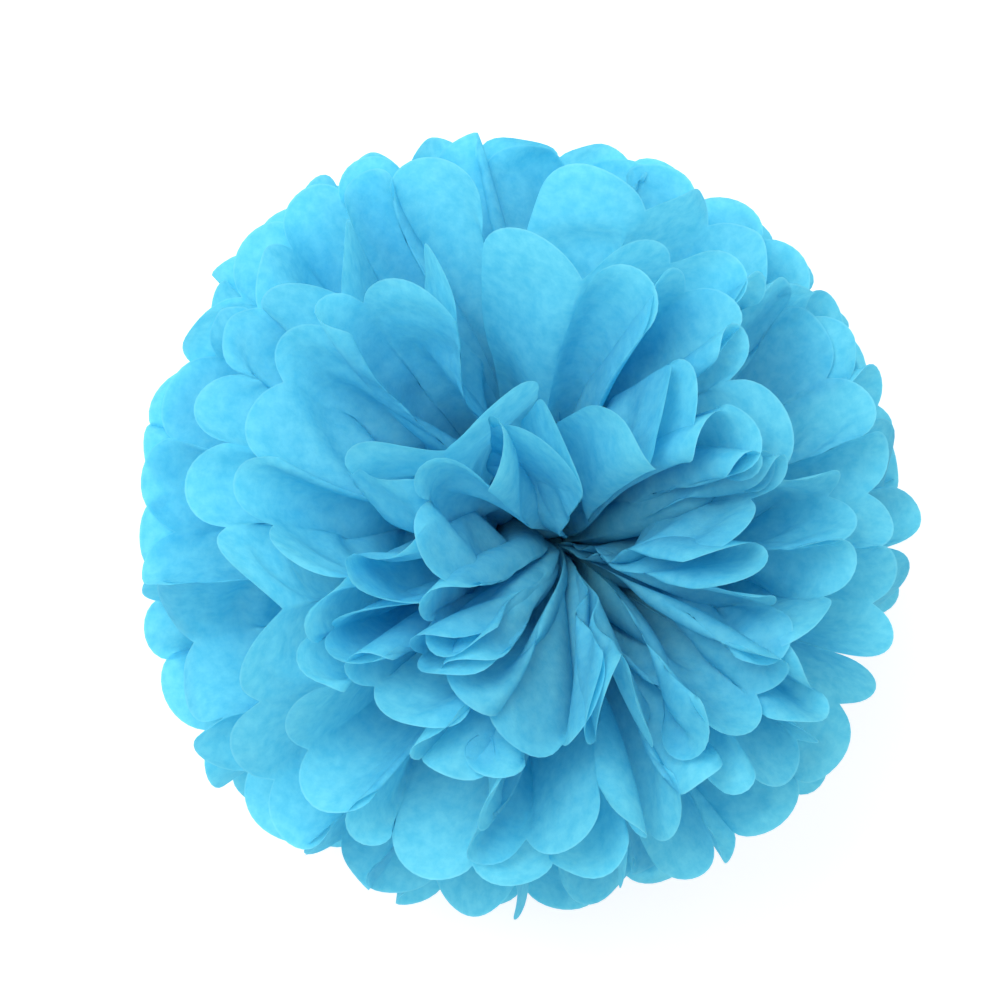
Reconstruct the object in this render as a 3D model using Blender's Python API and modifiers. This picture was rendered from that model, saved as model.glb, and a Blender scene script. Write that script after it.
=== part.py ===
"""Tissue paper pom pom: pleated tissue sheets, tied at the waist with a wire and fanned out into a ball.

Metres, +Z up. The origin is the middle of the ball's underside, on the surface that it rests on. The bundle
of folded sheets lies along Y, the wire runs round it in the XZ plane, and each half of a sheet opens like a
fan, from +X round to -X. The sheets are spread in elevation, from the underside to the top.
"""

import math

import bmesh
import bpy
from mathutils import Vector

# The cut sheets, all alike
SHEET_COUNT = 10
PLEAT_COUNT = 16
PLEAT_WIDTH = 0.03175  # sixteen of them take the whole 20 in width of a sheet
SHEET_LENGTH = 0.254
END_ROUNDING = 0.012  # how far the cut end of a pleat stands out past its two creases
END_POINTS = 4  # points between two creases on a round end
PAPER_THICKNESS = 0.00015  # thicker than real tissue, so that each sheet is a sound solid

# The tied waist
WAIST_PITCH = 0.00067  # from crease to crease, inside the wire
WAIST_RISE = 0.0005  # a crease above or below its sheet's level, inside the wire
SHEET_STEP = 0.0007  # from one sheet's level to the next, inside the wire
TURN_LENGTH = 0.003  # a pleat turns from the bundle's direction to its own over about this length
OPENING_LENGTH = 0.012  # and its two creases spread apart over about this length
ROWS = (0.0015, 0.006, 0.012, 0.022, 0.045, 0.104, 0.112)  # rows of points on each half, from the middle

# The ball
TOP_ELEVATION = math.radians(76)
EDGE_GAP = math.radians(1.5)  # from the XZ plane to the first crease of each fan
TIE_HEIGHT = 0.104  # under the radius of the ball: the lowest petals lie flat on the surface below
FLOOR_STEP = 0.001  # the second sheet's petals lie this much above the first one's

# The wire tie
WIRE_RADIUS = 0.00025
WIRE_CLEARANCE = 0.0003
RING_SQUARENESS = 6  # exponent of the superellipse that the wire follows round the bundle
RING_POINTS = 32
TAIL_LENGTH = 0.010
TAIL_TURNS = 2
TAIL_POINTS = 24

CREASE_END = SHEET_LENGTH / 2 - END_ROUNDING
TISSUE_COLOUR = (0.085, 0.51, 0.77, 1.0)
WIRE_COLOUR = (0.55, 0.56, 0.57, 1.0)


def clear_scene():
    for leftover in list(bpy.data.objects):
        bpy.data.objects.remove(leftover, do_unlink=True)


def make_material(name, colour, roughness, metallic):
    material = bpy.data.materials.new(name)
    material.use_nodes = True
    surface = material.node_tree.nodes["Principled BSDF"]
    surface.inputs["Base Color"].default_value = colour
    surface.inputs["Roughness"].default_value = roughness
    surface.inputs["Metallic"].default_value = metallic
    material.diffuse_color = colour
    return material


def sheet_elevation(number):
    """The elevation of a sheet's fans: the first sheet points down, the last one up."""
    return TOP_ELEVATION * (2 * number / (SHEET_COUNT - 1) - 1)


def half_zigzag(elevation):
    """How far creases stand above and below their fan, so that the pleats keep their width at the rim."""
    pleat_angle = 2 * math.asin(PLEAT_WIDTH / 2 / CREASE_END)
    spread = (math.pi - 2 * EDGE_GAP) / PLEAT_COUNT * math.cos(elevation)
    return math.sqrt(max(0.0, pleat_angle**2 - spread**2)) / 2


def flat_sheet():
    """One sheet before folding: a row of pleats side by side in X, with both ends cut round."""
    mesh = bmesh.new()
    rows = [-distance for distance in reversed((*ROWS, CREASE_END))] + [*ROWS, CREASE_END]
    bmesh.ops.create_grid(mesh, x_segments=PLEAT_COUNT, y_segments=len(rows) - 1, size=0.5)
    for vertex in mesh.verts:
        crease = round((vertex.co.x + 0.5) * PLEAT_COUNT)
        row = round((vertex.co.y + 0.5) * (len(rows) - 1))
        vertex.co = (crease * PLEAT_WIDTH, rows[row], 0)
    creases = set(mesh.verts)
    ends = [
        edge
        for edge in mesh.edges
        if edge.is_boundary and all(abs(vertex.co.y) > ROWS[-1] for vertex in edge.verts)
    ]
    bmesh.ops.subdivide_edges(mesh, edges=ends, cuts=END_POINTS)
    for vertex in mesh.verts:
        if vertex not in creases:
            pleat, along = divmod(vertex.co.x / PLEAT_WIDTH, 1)
            angle = math.pi * along
            vertex.co.x = (pleat + (1 - math.cos(angle)) / 2) * PLEAT_WIDTH
            vertex.co.y += math.copysign(END_ROUNDING * math.sin(angle), vertex.co.y)
    return mesh


def crease_point(crease, distance, number):
    """Where a point of a crease, at this signed distance from the sheet's middle, lies in the ball."""
    side = math.copysign(1, distance)
    up = 1 if crease % 2 else -1
    level = TIE_HEIGHT + (number - (SHEET_COUNT - 1) / 2) * SHEET_STEP
    azimuth = EDGE_GAP + (math.pi - 2 * EDGE_GAP) * crease / PLEAT_COUNT
    opened = 1 - math.exp(-abs(distance) / OPENING_LENGTH)
    elevation = sheet_elevation(number) + up * opened * half_zigzag(sheet_elevation(number))
    outwards = Vector((math.cos(azimuth), side * math.sin(azimuth), 0))
    straight = TURN_LENGTH * (1 - math.exp(-abs(distance) / TURN_LENGTH))
    reach = abs(distance) - straight
    start = Vector(((PLEAT_COUNT / 2 - crease) * WAIST_PITCH, side * straight, level + up * WAIST_RISE))
    lowest = PAPER_THICKNESS / 2 + number * FLOOR_STEP
    if elevation < 0:
        reach_to_floor = (start.z - lowest) / math.sin(-elevation)
    else:
        reach_to_floor = math.inf
    in_air = min(reach, reach_to_floor)
    rising = outwards * math.cos(elevation) + Vector((0, 0, math.sin(elevation)))
    return start + rising * in_air + outwards * (reach - in_air)


def tissue_sheet(number, material, collection):
    """One sheet of the ball: pleated, gathered inside the wire, and fanned out on both sides of it."""
    sheet = flat_sheet()
    for vertex in sheet.verts:
        place = vertex.co.x / PLEAT_WIDTH
        pleat = min(int(place + 1e-4), PLEAT_COUNT - 1)
        near = crease_point(pleat, vertex.co.y, number)
        far = crease_point(pleat + 1, vertex.co.y, number)
        vertex.co = near.lerp(far, place - pleat)
    # Both skins of the paper need the same triangles, or they cross where a pleat is bent.
    bmesh.ops.triangulate(sheet, faces=sheet.faces)
    bmesh.ops.recalc_face_normals(sheet, faces=sheet.faces)
    name = f"sheet_{number + 1:02d}"
    mesh = bpy.data.meshes.new(name)
    sheet.to_mesh(mesh)
    sheet.free()
    mesh.materials.append(material)
    piece = bpy.data.objects.new(name, mesh)
    collection.objects.link(piece)
    shell = piece.modifiers.new("paper", "SOLIDIFY")
    shell.thickness = PAPER_THICKNESS
    shell.offset = 0
    return piece


def ring_points(half_width, half_height, opening):
    """The wire's way round the bundle, from just above +X over the top and back to just below +X."""
    points = []
    first = math.asin((opening / half_height) ** (RING_SQUARENESS / 2))
    for step in range(RING_POINTS + 1):
        angle = first + (2 * math.pi - 2 * first) * step / RING_POINTS
        across = math.copysign(abs(math.cos(angle)) ** (2 / RING_SQUARENESS), math.cos(angle))
        upright = math.copysign(abs(math.sin(angle)) ** (2 / RING_SQUARENESS), math.sin(angle))
        points.append(Vector((half_width * across, 0, half_height * upright)))
    return points


def tail_points(start, twist_radius, bend_radius, upper):
    """One strand of the twisted tail, from the ring outwards along +X."""
    sign = 1 if upper else -1
    centre = Vector((start + bend_radius, 0, sign * (twist_radius + bend_radius)))
    points = []
    for step in (1, 2, 3):
        angle = math.radians(30 * step)
        points.append(centre + Vector((-math.cos(angle), 0, -sign * math.sin(angle))) * bend_radius)
    for step in range(1, TAIL_POINTS + 1):
        turn = 2 * math.pi * TAIL_TURNS * step / TAIL_POINTS
        along = centre.x + TAIL_LENGTH * step / TAIL_POINTS
        points.append(
            Vector((along, sign * twist_radius * math.sin(turn), sign * twist_radius * math.cos(turn)))
        )
    return points


def wire_tie(material, collection):
    """One wire: round the bundle once, then both ends twisted together along +X, between the two fans."""
    corner = 2 ** (-1 / RING_SQUARENESS)
    margin = WIRE_RADIUS + WIRE_CLEARANCE
    half_width = (PLEAT_COUNT / 2 * WAIST_PITCH + margin) / corner
    half_height = ((SHEET_COUNT - 1) / 2 * SHEET_STEP + WAIST_RISE + margin) / corner
    twist_radius = WIRE_RADIUS + WIRE_CLEARANCE / 2
    bend_radius = 3 * WIRE_RADIUS
    upper = tail_points(half_width, twist_radius, bend_radius, True)
    lower = tail_points(half_width, twist_radius, bend_radius, False)
    ring = ring_points(half_width, half_height, twist_radius + bend_radius)
    route = list(reversed(upper)) + ring + lower

    curve = bpy.data.curves.new("wire_tie", "CURVE")
    curve.dimensions = "3D"
    curve.bevel_depth = WIRE_RADIUS
    curve.bevel_resolution = 2
    curve.use_fill_caps = True
    spline = curve.splines.new("POLY")
    spline.points.add(len(route) - 1)
    for point, place in zip(spline.points, route):
        point.co = (*place, 1)
    curve.materials.append(material)
    piece = bpy.data.objects.new("wire_tie", curve)
    piece.location = (0, 0, TIE_HEIGHT)
    collection.objects.link(piece)
    return piece


def main():
    clear_scene()
    collection = bpy.data.collections.new("tissue_paper_pom_pom")
    bpy.context.scene.collection.children.link(collection)
    tissue = make_material("tissue_paper", TISSUE_COLOUR, 0.75, 0.0)
    wire = make_material("tie_wire", WIRE_COLOUR, 0.35, 1.0)
    for number in range(SHEET_COUNT):
        tissue_sheet(number, tissue, collection)
    wire_tie(wire, collection)


main()
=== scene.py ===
# %% [markdown]
# # A tissue paper pom pom
# The real ball is ten sheets of sky blue tissue paper. They are laid on each other, folded like an accordion,
# cut round at both ends, tied round the middle with a thin wire, and pulled apart sheet by sheet.
# The frame loaded here already holds that construction at its real size, with stiff, even folds.
# This lesson keeps its sizes and makes the soft paper: uneven folds, curled petals and a papery finish.

# %% Load the frame
import math

import bmesh
import bpy
import numpy as np
from mathutils import Matrix, Vector


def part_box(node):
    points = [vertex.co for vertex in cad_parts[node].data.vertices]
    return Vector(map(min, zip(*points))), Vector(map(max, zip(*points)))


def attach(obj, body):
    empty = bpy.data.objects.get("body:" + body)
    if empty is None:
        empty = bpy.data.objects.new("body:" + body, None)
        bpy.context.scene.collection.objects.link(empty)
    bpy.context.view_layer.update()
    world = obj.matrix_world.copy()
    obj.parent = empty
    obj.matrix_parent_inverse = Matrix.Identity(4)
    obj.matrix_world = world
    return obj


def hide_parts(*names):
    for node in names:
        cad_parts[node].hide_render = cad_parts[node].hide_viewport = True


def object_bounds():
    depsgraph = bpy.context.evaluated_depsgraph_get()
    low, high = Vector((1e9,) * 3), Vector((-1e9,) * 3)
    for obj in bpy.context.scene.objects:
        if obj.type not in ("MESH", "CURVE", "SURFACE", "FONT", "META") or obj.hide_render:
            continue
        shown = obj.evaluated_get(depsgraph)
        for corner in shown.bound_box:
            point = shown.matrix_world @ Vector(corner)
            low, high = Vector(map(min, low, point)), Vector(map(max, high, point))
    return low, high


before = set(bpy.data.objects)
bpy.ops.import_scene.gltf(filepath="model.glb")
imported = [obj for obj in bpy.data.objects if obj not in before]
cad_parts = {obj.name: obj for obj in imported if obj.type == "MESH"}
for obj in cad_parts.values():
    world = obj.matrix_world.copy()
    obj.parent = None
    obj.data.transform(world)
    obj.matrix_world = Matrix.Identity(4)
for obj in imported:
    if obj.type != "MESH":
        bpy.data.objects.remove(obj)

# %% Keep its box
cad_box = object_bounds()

print("frame box:", [[round(value, 4) for value in corner] for corner in cad_box])

# %% [markdown]
# ## Where the sheets are tied
# Everything fans out from one point, the middle of the wire. It could be typed in as a height, but then it
# would be wrong as soon as the frame changed. So it is read from the wire's own box. The wire's twisted tail
# sticks out sideways, so only the height is taken, and the tie is on the ball's axis.

# %% Find the tie and count the sheets
SHEET_NODES = sorted(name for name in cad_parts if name.startswith("sheet_"))
SHEETS = len(SHEET_NODES)
wire_low, wire_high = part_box("wire_tie")
TIE = np.array([0, 0, (wire_low[2] + wire_high[2]) / 2])
print(SHEETS, "sheets, tied", round(TIE[2] * 1000, 1), "mm above the floor")

# %% [markdown]
# ## The flat cut
# Paper bends but hardly stretches, so the flat sheet comes first: every later shape is tested against it.
# A sheet is 20 in wide and 10 in long, folded into 16 pleats, and each pleat's two ends are cut round.
# A plain grid would put its points evenly. Here they crowd towards the folds, because the round ends
# are steepest there. The rows stay off the very middle, where the wire crushes the paper.

# %% Sizes of the cut
PLEATS = 16
PLEAT_WIDTH = 0.03175
SHEET_LENGTH = 0.254
END_ROUNDING = 0.012
COLUMNS = 8  # steps across one pleat
ROWS = 30  # rows of points on each half
FIRST_ROW = 0.0015
fold_end = SHEET_LENGTH / 2 - END_ROUNDING
print("flat sheet:", PLEATS * PLEAT_WIDTH, "x", SHEET_LENGTH, "m")

# %% Places across the sheet, counted in pleats
step_across = (1 - np.cos(np.pi * np.arange(COLUMNS) / COLUMNS)) / 2
across = np.append((np.arange(PLEATS)[:, None] + step_across).ravel(), PLEATS)
pleat_of = np.minimum(np.floor(across + 1e-9).astype(int), PLEATS - 1)
in_pleat = across - pleat_of  # 0 at one fold, 1 at the next
is_fold = np.isclose(in_pleat % 1, 0)
print(len(across), "points across, of which", is_fold.sum(), "on folds and edges")

# %% Distances from the middle, out to the round end
cut_end = fold_end + END_ROUNDING * np.sqrt(np.maximum(0, 1 - (2 * in_pleat - 1) ** 2))
spacing = np.linspace(0, 1, ROWS) ** 0.9
half_rows = FIRST_ROW + spacing * (cut_end[:, None] - FIRST_ROW)
along = np.concatenate([-half_rows[:, ::-1], half_rows], axis=1)
flat = np.stack([np.broadcast_to(across[:, None] * PLEAT_WIDTH, along.shape), along], axis=-1)
print("grid of", along.shape, "points, longest half", round(half_rows.max() * 1000, 1), "mm")

# %% [markdown]
# ## How the fans open
# Each half of a sheet opens into a fan of half a circle. A fan drawn by rule looks like a paper plate:
# real petals are pulled out by hand, so some pleats are wide open and others stay nearly shut.
# The pleats of a half share its half circle, so random shares are drawn and added up. Sheets folded
# together keep some likeness, so part of each draw is common to all of them. Near the top and the
# underside the shares differ most, because there the paper is most crowded.

# %% Shares of the half circle
rng = np.random.default_rng(11)
level = np.linspace(-1, 1, SHEETS)  # -1 for the lowest sheet, 1 for the topmost
steep = np.abs(level)[:, None, None]
common_share = rng.normal(0, 1, (2, PLEATS))
own_share = rng.normal(0, 1, (SHEETS, 2, PLEATS))
share = np.exp((0.22 + 0.45 * steep) * (0.5 * common_share + 0.85 * own_share))
share /= share.sum(axis=-1, keepdims=True)
print("the widest pleat takes", round(share.max() * PLEATS, 2), "times an even share")

# %% Directions of the folds, seen from above
SEAM_GAP = math.radians(1)
SEAM_TURN = math.radians(7)
half_sign = np.array([-1.0, 1.0])
turn = np.where(np.arange(SHEETS) % 2, 1, -1)[:, None] * SEAM_TURN * rng.uniform(0.6, 1.4, (SHEETS, 2))
first_fold = SEAM_GAP + half_sign * turn[:, :1]
last_fold = math.pi - SEAM_GAP + half_sign * turn[:, 1:]
opened = np.concatenate([np.zeros((SHEETS, 2, 1)), np.cumsum(share, axis=-1)], axis=-1)
heading = first_fold[..., None] + (last_fold - first_fold)[..., None] * opened
print("seams turned by up to", round(math.degrees(np.abs(turn).max()), 1), "degrees")

# %% [markdown]
# ## How the folds rise and fall
# Every other fold is a ridge and the ones between are valleys. How deep they are isn't free: a pleat keeps
# its width, so the more it is squeezed sideways, the deeper it stands. That gives the height of each fold by
# Pythagoras. A slow wave and a little noise along each fan lift whole groups of petals, and the tips lean
# outwards, as paper does under its own weight.

# %% Distances along a fold at which its direction is worked out
STEP_OUT = 0.002
out = np.arange(0, SHEET_LENGTH / 2 + 0.005, STEP_OUT)
tip = np.clip((out - 0.05) / (SHEET_LENGTH / 2 - 0.05), 0, 1)
folds = np.arange(PLEATS + 1)
ridge = np.where(folds % 2, 1.0, -1.0)[:, None]
TOP_ELEVATION = math.radians(76)
elevation = TOP_ELEVATION * level[:, None, None, None]
print("fans at", [round(math.degrees(TOP_ELEVATION * value)) for value in level], "degrees")

# %% Depth of the folds
pleat_chord = PLEAT_WIDTH * (0.86 + 0.11 * steep)[..., None]
sideways = out * (share * (last_fold - first_fold)[..., None])[..., None] * np.cos(elevation)
upright = np.sqrt(np.maximum(pleat_chord**2 - sideways**2, 0))
with_edges = np.concatenate([upright[:, :, :1], upright, upright[:, :, -1:]], axis=2)
fold_depth = (with_edges[:, :, :-1] + with_edges[:, :, 1:]) / 4 * np.minimum(1, out / 0.05) ** 0.7
fold_angle = np.minimum(fold_depth / np.maximum(out, 0.004), math.radians(36))
print("folds stand up to", round(fold_depth.max() * 1000, 1), "mm over the middle of their fan")

# %% Waves, noise, lean and curl
wave_length = rng.uniform(0.35, 0.9, (SHEETS, 2, 1))
wave = np.sin(folds * wave_length + rng.uniform(0, 2 * math.pi, (SHEETS, 2, 1))) * math.radians(4)
common_lift = rng.normal(0, math.radians(2.0), (2, PLEATS + 1))
lift = common_lift + rng.normal(0, math.radians(3.0), (SHEETS, 2, PLEATS + 1)) + wave
curl = rng.normal(0, math.radians(11), (SHEETS, 2, PLEATS + 1))
lean = -math.radians(10) * np.sign(level) * np.abs(level) ** 0.5
STEEPEST = math.radians(88)
rise = elevation * np.minimum(1, (STEEPEST - fold_angle) / TOP_ELEVATION) + ridge * fold_angle
rise = rise + lift[..., None] + (curl[..., None] + lean[:, None, None, None]) * tip**2
rise = np.clip(rise, -STEEPEST, STEEPEST)
print("steepest fold", round(math.degrees(rise.max())), "degrees")

# %% [markdown]
# ## From the wire to the petals
# Inside the wire the pleats are crushed flat against each other. Then each fold turns, over a few
# millimetres, from the bundle's direction to its own. The fold is a gently bent ray from there on, and a
# pleat is the surface between two rays. A pleat also bellies out between its folds, because paper that has
# been pulled apart never lies flat again.

# %% Rays of the folds
WAIST_PITCH = 0.00067
WAIST_STEP = 0.0007
WAIST_RISE = 0.0005
TURN_LENGTH = 0.003
straight = TURN_LENGTH * (1 - np.exp(-out / TURN_LENGTH))
ray = np.zeros((SHEETS, 2, PLEATS + 1, len(out), 3))
ray[..., 0] = ((PLEATS / 2 - folds) * WAIST_PITCH)[:, None]
ray[..., 1] = half_sign[:, None, None] * straight
ray[..., 2] = (level * (SHEETS - 1) / 2 * WAIST_STEP)[:, None, None, None] + WAIST_RISE * ridge
facing = np.stack(
    [
        np.cos(rise) * np.cos(heading)[..., None],
        np.cos(rise) * np.sin(heading)[..., None] * half_sign[:, None, None],
        np.sin(rise),
    ],
    axis=-1,
)
ray += facing * (out - straight)[:, None]
print("rays of", ray.shape[:3], "sheets, halves and folds")


# %% A helper: points of every sheet at given distances along given folds
def on_fold(half, fold_of_column, distance):
    place = distance / STEP_OUT
    before = np.clip(place.astype(int), 0, len(out) - 2)
    part = (place - before)[None, :, :, None]
    rays = ray[:, half]
    column = fold_of_column[:, None]
    return rays[:, column, before] * (1 - part) + rays[:, column, before + 1] * part


# %% A helper: the direction in which a point's elevation grows
def upwards(points):
    flat_reach = np.linalg.norm(points[..., :2], axis=-1, keepdims=True) + 1e-9
    reach = np.linalg.norm(points, axis=-1, keepdims=True) + 1e-9
    sideways_part = -points[..., 2:] / reach * points[..., :2] / flat_reach
    return np.concatenate([sideways_part, flat_reach / reach], axis=-1)


# %% Pleats between the rays, with their bellies
pole_side = np.where(level < 0, -1.0, 1.0)[:, None]
belly = (-0.007 + rng.normal(0, 0.005, (SHEETS, PLEATS))) * (1 - 0.5 * steep[..., 0]) * pole_side
belly_shape = (4 * in_pleat * (1 - in_pleat))[:, None] * np.clip(half_rows / 0.1, 0, 1) ** 1.2
paper = np.zeros((SHEETS, *along.shape, 3))
for half in (0, 1):
    near = on_fold(half, pleat_of, half_rows)
    far = on_fold(half, pleat_of + 1, half_rows)
    pleat = near + (far - near) * in_pleat[:, None, None]
    outwards = np.cross(far - near, np.gradient(pleat, axis=2))
    outwards /= np.linalg.norm(outwards, axis=-1, keepdims=True) + 1e-9
    outwards *= np.sign((outwards * upwards(pleat)).sum(axis=-1, keepdims=True))
    pleat = pleat + outwards * (belly[:, pleat_of, None] * belly_shape)[..., None]
    if half == 0:
        paper[:, :, :ROWS] = pleat[:, :, ::-1]
    else:
        paper[:, :, ROWS:] = pleat
print("paper reaches", round(np.linalg.norm(paper, axis=-1).max() * 1000), "mm from the tie")

# %% [markdown]
# ## One shared crumple
# Handling bends neighbouring petals together. A few long sine waves through space, the same for all
# sheets, do that without pushing one sheet through another. They fade out towards the wire.

# %% Bend all the sheets together
CRUMPLE = 0.006
CRUMPLE_SIZE = 0.11
CRUMPLE_WAVES = 5
crumple = np.zeros_like(paper)
for number in range(CRUMPLE_WAVES):
    direction = rng.normal(0, 1, 3)
    direction *= 2 * math.pi / CRUMPLE_SIZE / np.linalg.norm(direction) * rng.uniform(0.7, 1.3)
    crumple += rng.normal(0, 1, 3) * np.sin(paper @ direction + rng.uniform(0, 6.28))[..., None]
crumple *= CRUMPLE / math.sqrt(CRUMPLE_WAVES)
paper += crumple * np.clip(np.linalg.norm(paper, axis=-1, keepdims=True) / 0.1, 0, 1) ** 1.5
print("crumple moves the paper up to", round(np.abs(crumple).max() * 1000, 1), "mm")

# %% [markdown]
# ## Letting the paper settle
# The shape so far is only drawn, so it has stretched here and shrunk there. Blender's Cloth could settle
# it, but ten deeply folded layers that touch everywhere make it slow and jumpy. So a small solver does the
# same job: again and again, each grid line is pulled back to its flat length, pleats resist bending, folds
# don't, layers are kept in order, and nothing goes under the floor. The wire's grip never moves.

# %% Flat lengths that the paper keeps
rest_across = np.linalg.norm(flat[1:] - flat[:-1], axis=-1)
rest_along = np.linalg.norm(flat[:, 1:] - flat[:, :-1], axis=-1)
rest_rising = np.linalg.norm(flat[1:, 1:] - flat[:-1, :-1], axis=-1)
rest_falling = np.linalg.norm(flat[1:, :-1] - flat[:-1, 1:], axis=-1)
rest_two_across = np.linalg.norm(flat[2:] - flat[:-2], axis=-1)
rest_two_along = np.linalg.norm(flat[:, 2:] - flat[:, :-2], axis=-1)
bend_across = np.where(is_fold[1:-1], 0, 0.16)
print("longest grid step", round(rest_along.max() * 1000, 1), "mm")


# %% A helper: pull pairs of points towards their flat distance
def pull(first, second, rest, stiffness):
    apart = second - first
    length = np.sqrt(np.einsum("...i,...i->...", apart, apart)) + 1e-12
    move = (stiffness * 0.5 * (length - rest) / length)[..., None] * apart
    first += move
    second -= move


# %% A helper: the same along one direction of the grid, in turns that don't share points
def pull_line(points, rest, stiffness, span):
    for start in range(2 * span):
        first = points[start :: 2 * span]
        second = points[start + span :: 2 * span]
        count = len(second)
        strength = stiffness if np.isscalar(stiffness) else stiffness[start :: 2 * span][:count, None, None]
        pull(first[:count], second, rest[start :: 2 * span][:count, None], strength)


# %% A helper: keep each sheet above the one under it, cell by cell
CELL_TURN = math.radians(3)
CELL_REACH = 0.005
LAYER_GAP = 0.0012
TURNS = round(2 * math.pi / CELL_TURN)


def keep_layers_apart(points):
    reach = np.linalg.norm(points, axis=-1)
    height = np.arcsin(np.clip(points[..., 2] / (reach + 1e-9), -1, 1))
    turn_cell = np.floor(np.arctan2(points[..., 1], points[..., 0]) / CELL_TURN).astype(int) % TURNS
    cell = turn_cell + TURNS * np.floor(reach / CELL_REACH).astype(int)
    gap = LAYER_GAP / np.maximum(reach, 0.02)
    move = np.zeros_like(reach)
    for under in range(SHEETS - 1):
        roof = np.full(cell.max() + 1, -10.0)
        ground = np.full(cell.max() + 1, 10.0)
        np.maximum.at(roof, cell[under].ravel(), height[under].ravel())
        np.minimum.at(ground, cell[under + 1].ravel(), height[under + 1].ravel())
        meet = (roof + ground) / 2
        shared = (roof > -9) & (ground < 9)
        low_side = height[under] + gap[under] / 2 - meet[cell[under]]
        high_side = meet[cell[under + 1]] - height[under + 1] + gap[under + 1] / 2
        move[under] -= np.where(shared[cell[under]], np.maximum(low_side, 0), 0)
        move[under + 1] += np.where(shared[cell[under + 1]], np.maximum(high_side, 0), 0)
    points += upwards(points) * np.clip(0.4 * move * reach, -0.004, 0.004)[..., None]


# %% Settle
SETTLE_ROUNDS = 170
FLOOR_GAP = 0.0003
held = slice(ROWS - 5, ROWS + 5)
drawn = paper.copy()
memory = np.where(is_fold, 0.05, 0.004)[:, None, None]
by_column = np.moveaxis(paper, 1, 0)
by_row = np.moveaxis(paper, 2, 0)
for settle_round in range(SETTLE_ROUNDS):
    pull_line(by_column, rest_across, 0.9, 1)
    pull_line(by_row, rest_along.T, 0.9, 1)
    for start in (0, 1):
        pull(paper[:, start:-1:2, :-1], paper[:, start + 1 :: 2, 1:], rest_rising[start::2], 0.4)
        pull(paper[:, start:-1:2, 1:], paper[:, start + 1 :: 2, :-1], rest_falling[start::2], 0.4)
    pull_line(by_column, rest_two_across, bend_across, 2)
    pull_line(by_row, rest_two_along.T, 0.2, 2)
    if settle_round % 3 == 0:
        keep_layers_apart(paper)
    fading = max(0.1, 1 - settle_round / (0.7 * SETTLE_ROUNDS)) ** 2
    paper += (drawn - paper) * memory * fading
    paper[:, :, held] = drawn[:, :, held]
    paper[..., 2] = np.maximum(paper[..., 2], FLOOR_GAP - TIE[2])
stretch = np.linalg.norm(np.diff(paper, axis=1), axis=-1) / rest_across
print("widths are off by", round(100 * np.abs(stretch - 1).mean(), 1), "% on average")

# %% [markdown]
# ## Making the sheets
# Each sheet starts as one of Blender's grids, with the same rows and columns as the flat cut, and its
# points are moved to where the paper settled. The flat cut also becomes the UV map, in metres, so that
# the paper's mottling is folded along with it. Each point remembers how near it is to the cut edge. Folds
# are marked as creases, so that a Subdivision Surface rounds the petals and keeps their folds sharp.


# %% A helper: one settled sheet as a mesh
def settled_sheet(number):
    columns, rows = along.shape
    sheet = bmesh.new()
    bmesh.ops.create_grid(sheet, x_segments=columns - 1, y_segments=rows - 1, size=0.5)
    cut_map = sheet.loops.layers.uv.new("cut")
    to_edge = sheet.verts.layers.float.new("to_edge")
    crease = sheet.edges.layers.float.new("crease_edge")
    cut_place = {}
    for vertex in sheet.verts:
        column = round((vertex.co.x + 0.5) * (columns - 1))
        row = round((vertex.co.y + 0.5) * (rows - 1))
        cut_place[vertex] = (column, row)
        vertex[to_edge] = cut_end[column] - abs(along[column, row])
        vertex.co = TIE + paper[number, column, row]
    for edge in sheet.edges:
        column, other = (cut_place[vertex][0] for vertex in edge.verts)
        if column == other and is_fold[column]:
            edge[crease] = 0.75
    for face in sheet.faces:
        for corner in face.loops:
            corner[cut_map].uv = flat[cut_place[corner.vert]] + (number * PLEATS * PLEAT_WIDTH, 0)
    mesh = bpy.data.meshes.new(SHEET_NODES[number].replace("sheet", "tissue"))
    sheet.to_mesh(mesh)
    sheet.free()
    mesh.shade_smooth()
    return mesh


# %% Put the sheets in the scene
tissues = []
for number in range(SHEETS):
    mesh = settled_sheet(number)
    tissue = bpy.data.objects.new(mesh.name, mesh)
    bpy.context.scene.collection.objects.link(tissue)
    soft = tissue.modifiers.new("soft", "SUBSURF")
    soft.levels = soft.render_levels = 1
    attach(tissue, "root")
    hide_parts(SHEET_NODES[number])
    tissues.append(tissue)
print(len(tissues), "sheets of", len(mesh.polygons), "faces before smoothing")

# %% [markdown]
# ## A node group for cloudy patches
# Tissue paper is never even: its fibres lie in clouds, thicker here and thinner there. The drawn wire
# has dull patches of much the same kind. Both are one soft noise with its contrast raised, so it is
# made once, as a group with named inputs, and each material gives it its own scale.


# %% A helper: add a node with its settings
def add_node(tree, kind, **settings):
    node = tree.nodes.new(kind)
    for name, value in settings.items():
        if hasattr(node, name):
            setattr(node, name, value)
        else:
            node.inputs[name.replace("_", " ")].default_value = value
    return node


# %% The cloudy patches
patches = bpy.data.node_groups.new("cloudy patches", "ShaderNodeTree")
patches.interface.new_socket("Vector", in_out="INPUT", socket_type="NodeSocketVector")
patches.interface.new_socket("Scale", in_out="INPUT", socket_type="NodeSocketFloat")
patches.interface.new_socket("Mask", in_out="OUTPUT", socket_type="NodeSocketFloat")
group_in = patches.nodes.new("NodeGroupInput")
group_out = patches.nodes.new("NodeGroupOutput")
clouds = add_node(patches, "ShaderNodeTexNoise", Detail=5.0, Roughness=0.6)
contrast = add_node(patches, "ShaderNodeMapRange", From_Min=0.33, From_Max=0.67)
patches.links.new(group_in.outputs["Vector"], clouds.inputs["Vector"])
patches.links.new(group_in.outputs["Scale"], clouds.inputs["Scale"])
patches.links.new(clouds.outputs[0], contrast.inputs["Value"])
patches.links.new(contrast.outputs["Result"], group_out.inputs["Mask"])
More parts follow.
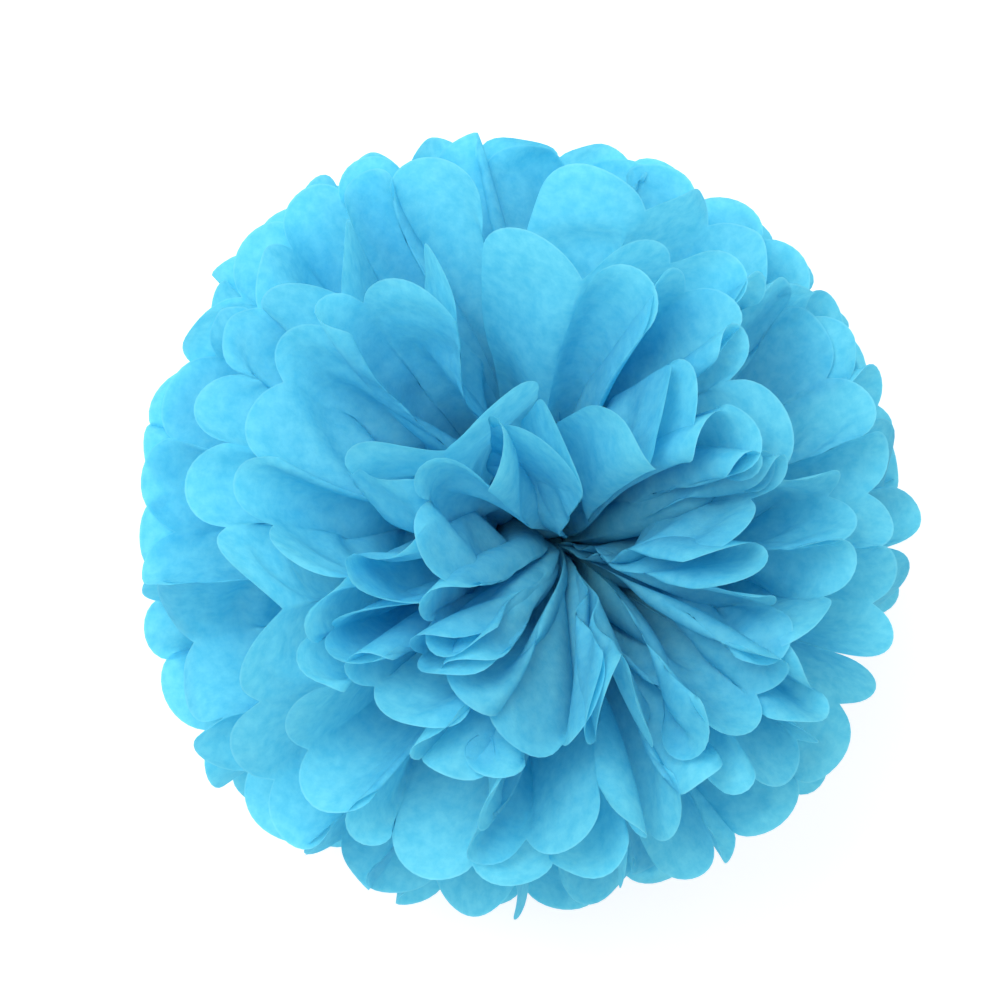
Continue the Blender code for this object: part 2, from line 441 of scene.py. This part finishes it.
print("group:", patches.name)

# %% [markdown]
# ## The tissue's finish
# Tissue is dull, and light also comes through it, which is why the hollows between the petals glow
# instead of going black. Part of the light is scattered by a Principled BSDF and part is let through by a
# Translucent BSDF of the same colour. Where the fibres are thin, the blue is paler. Along the cut edge a
# painted highlight makes the colour paler still, standing in for the light that the edge catches and lets
# out.
# Fine bumps give the feel of dry, lightly crumpled paper.

# %% Start the material with its cloudy blue
BLUE = (0.115, 0.625, 0.83, 1)
THIN_BLUE = (0.19, 0.73, 0.885, 1)
# The third colour is a painted highlight for the cut edge, not a colour of the paper itself.
EDGE_HIGHLIGHT_BLUE = (0.30, 0.81, 0.93, 1)
CLOUDS_PER_METRE = 230
tissue_paper = bpy.data.materials.new("sky blue tissue paper")
tissue_paper.use_nodes = True
tree = tissue_paper.node_tree
cut_uv = add_node(tree, "ShaderNodeUVMap", uv_map="cut")
fibre_clouds = add_node(tree, "ShaderNodeGroup", node_tree=patches)
fibre_clouds.inputs["Scale"].default_value = CLOUDS_PER_METRE
cloudy_blue = add_node(tree, "ShaderNodeMix", data_type="RGBA")
cloudy_blue.inputs[6].default_value = BLUE
cloudy_blue.inputs[7].default_value = THIN_BLUE
tree.links.new(cut_uv.outputs["UV"], fibre_clouds.inputs["Vector"])
tree.links.new(fibre_clouds.outputs["Mask"], cloudy_blue.inputs[0])
print("fibre clouds are about", round(1000 / CLOUDS_PER_METRE, 1), "mm across")

# %% Painted highlight along the cut edge
# Painted highlight: within a thin strip along the cut edge the colour is mixed towards a paler blue, standing
# in for light caught by the edge.
EDGE_HIGHLIGHT_WIDTH = 0.0008
edge_distance = add_node(tree, "ShaderNodeAttribute", attribute_name="to_edge")
edge_highlight_mask = add_node(tree, "ShaderNodeMapRange", From_Max=EDGE_HIGHLIGHT_WIDTH, To_Min=0.45, To_Max=0.0)
blue_with_edge_highlight = add_node(tree, "ShaderNodeMix", data_type="RGBA")
blue_with_edge_highlight.inputs[7].default_value = EDGE_HIGHLIGHT_BLUE
tree.links.new(edge_distance.outputs["Fac"], edge_highlight_mask.inputs["Value"])
tree.links.new(edge_highlight_mask.outputs["Result"], blue_with_edge_highlight.inputs[0])
tree.links.new(cloudy_blue.outputs[2], blue_with_edge_highlight.inputs[6])
print("pale edge", EDGE_HIGHLIGHT_WIDTH * 1000, "mm wide")

# %% Fine crumple as bumps
crumple_noise = add_node(tree, "ShaderNodeTexNoise", Scale=85.0, Detail=7.0, Roughness=0.55)
crumple_bump = add_node(tree, "ShaderNodeBump", Strength=0.45, Distance=0.0015)
tree.links.new(cut_uv.outputs["UV"], crumple_noise.inputs["Vector"])
tree.links.new(crumple_noise.outputs[0], crumple_bump.inputs["Height"])
print("bump strength", round(crumple_bump.inputs["Strength"].default_value, 2))

# %% Light scattered and light let through
THROUGH = 0.5
scattered = tree.nodes["Principled BSDF"]
scattered.inputs["Roughness"].default_value = 0.75
scattered.inputs["Specular IOR Level"].default_value = 0.3
through = add_node(tree, "ShaderNodeBsdfTranslucent")
both = add_node(tree, "ShaderNodeMixShader")
both.inputs[0].default_value = THROUGH
# Both colours carry the painted edge highlight as well as the cloudy fibres.
tree.links.new(blue_with_edge_highlight.outputs[2], scattered.inputs["Base Color"])
tree.links.new(blue_with_edge_highlight.outputs[2], through.inputs["Color"])
tree.links.new(crumple_bump.outputs["Normal"], scattered.inputs["Normal"])
tree.links.new(crumple_bump.outputs["Normal"], through.inputs["Normal"])
tree.links.new(scattered.outputs[0], both.inputs[1])
tree.links.new(through.outputs[0], both.inputs[2])
tree.links.new(both.outputs[0], tree.nodes["Material Output"].inputs["Surface"])
for tissue in tissues:
    tissue.data.materials.append(tissue_paper)
print("the tissue lets through", THROUGH, "of its light")

# %% [markdown]
# ## The wire's finish
# The tie is thin bare steel wire, drawn and then twisted by hand. Its shape in the frame is right, so it
# stays, and only gets a finish: a metal whose roughness and grey change in small dull patches.

# %% Drawn steel wire
drawn_steel = bpy.data.materials.new("drawn steel wire")
drawn_steel.use_nodes = True
tree = drawn_steel.node_tree
wire_place = add_node(tree, "ShaderNodeTexCoord")
dull_patches = add_node(tree, "ShaderNodeGroup", node_tree=patches)
dull_patches.inputs["Scale"].default_value = 900
dullness = add_node(tree, "ShaderNodeMapRange", To_Min=0.28, To_Max=0.5)
wire_grey = add_node(tree, "ShaderNodeMix", data_type="RGBA")
wire_grey.inputs[6].default_value = (0.62, 0.63, 0.64, 1)
wire_grey.inputs[7].default_value = (0.42, 0.42, 0.42, 1)
tree.links.new(wire_place.outputs["Object"], dull_patches.inputs["Vector"])
tree.links.new(dull_patches.outputs["Mask"], dullness.inputs["Value"])
tree.links.new(dull_patches.outputs["Mask"], wire_grey.inputs[0])
steel = tree.nodes["Principled BSDF"]
steel.inputs["Metallic"].default_value = 1
tree.links.new(dullness.outputs["Result"], steel.inputs["Roughness"])
tree.links.new(wire_grey.outputs[2], steel.inputs["Base Color"])
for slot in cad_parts["wire_tie"].material_slots:
    slot.material = drawn_steel
print("wire slots:", len(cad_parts["wire_tie"].material_slots))

# %% [markdown]
# ## The studio
# The ball rests on a pale floor in soft, nearly even light, so that its own hollows make the dark
# places. The floor glows a little: that keeps the shadow faint and lights the lowest petals from behind.

# %% Floor
FLOOR_GLOW = 0.3
floor_grid = bmesh.new()
bmesh.ops.create_grid(floor_grid, x_segments=1, y_segments=1, size=3)
floor_mesh = bpy.data.meshes.new("floor")
floor_grid.to_mesh(floor_mesh)
floor_grid.free()
floor = bpy.data.objects.new("floor", floor_mesh)
bpy.context.scene.collection.objects.link(floor)
floor_paint = bpy.data.materials.new("pale floor")
floor_paint.use_nodes = True
paint = floor_paint.node_tree.nodes["Principled BSDF"]
paint.inputs["Base Color"].default_value = (0.95, 0.95, 0.95, 1)
paint.inputs["Roughness"].default_value = 0.95
paint.inputs["Emission Color"].default_value = (1, 1, 1, 1)
paint.inputs["Emission Strength"].default_value = FLOOR_GLOW
floor_mesh.materials.append(floor_paint)
print("floor glow", FLOOR_GLOW)

# %% [markdown]
# ## The camera
# The ball is seen from nearly overhead, tilted so that the top of its axis leans towards the lower right
# of the picture. Three directions describe the camera: back towards it, and right and up in the picture.

# %% Camera directions
VIEW_ELEVATION = math.radians(72)
VIEW_TURN = math.radians(-40)
AXIS_IN_PICTURE = math.radians(-30)  # where the ball's axis points in the picture, from its right
back = Vector((math.sin(VIEW_TURN), -math.cos(VIEW_TURN), 0)) * math.cos(VIEW_ELEVATION)
back.z = math.sin(VIEW_ELEVATION)
axis_seen = (Vector((0, 0, 1)) - back * back.z).normalized()
beside_axis = axis_seen.cross(back)
picture_right = axis_seen * math.cos(AXIS_IN_PICTURE) + beside_axis * math.sin(AXIS_IN_PICTURE)
picture_up = back.cross(picture_right)
print("camera looks down at", round(math.degrees(VIEW_ELEVATION)), "degrees")

# %% Camera
BALL_IN_PICTURE = 0.784  # the ball's width as a share of the picture's
CAMERA_DISTANCE = 1.0
picture_width = (cad_box[1][1] - cad_box[0][1]) / BALL_IN_PICTURE
camera_data = bpy.data.cameras.new("camera")
camera_data.lens = camera_data.sensor_width * CAMERA_DISTANCE / picture_width
camera = bpy.data.objects.new("camera", camera_data)
aim = Vector(TIE) + (picture_up * 0.0265 - picture_right * 0.0185) * picture_width
turned = Matrix((picture_right, picture_up, back)).transposed().to_4x4()
camera.matrix_world = Matrix.Translation(aim + back * CAMERA_DISTANCE) @ turned
bpy.context.scene.collection.objects.link(camera)
bpy.context.scene.camera = camera
bpy.context.scene.view_settings.view_transform = "Standard"
print("lens", round(camera_data.lens, 1), "mm")

# %% [markdown]
# ## The light
# One large lamp stands above the picture's upper left, near the camera, so that it reaches into the
# middle of the ball. A white sky fills in from all sides.

# %% Lamp and sky
LAMP_POWER = 15
SKY_STRENGTH = 0.8
lamp_data = bpy.data.lights.new("lamp", "AREA")
lamp_data.size = 0.8
lamp_data.energy = LAMP_POWER
lamp = bpy.data.objects.new("lamp", lamp_data)
lamp.location = Vector(TIE) + picture_up * 0.5 - picture_right * 0.4 + back * 1.3
lamp.rotation_euler = (lamp.location - Vector(TIE)).to_track_quat("Z", "Y").to_euler()
bpy.context.scene.collection.objects.link(lamp)
sky = bpy.data.worlds.new("white sky")
sky.use_nodes = True
sky.node_tree.nodes["Background"].inputs["Color"].default_value = (1, 1, 1, 1)
sky.node_tree.nodes["Background"].inputs["Strength"].default_value = SKY_STRENGTH
bpy.context.scene.world = sky
print("lamp of", LAMP_POWER, "W")
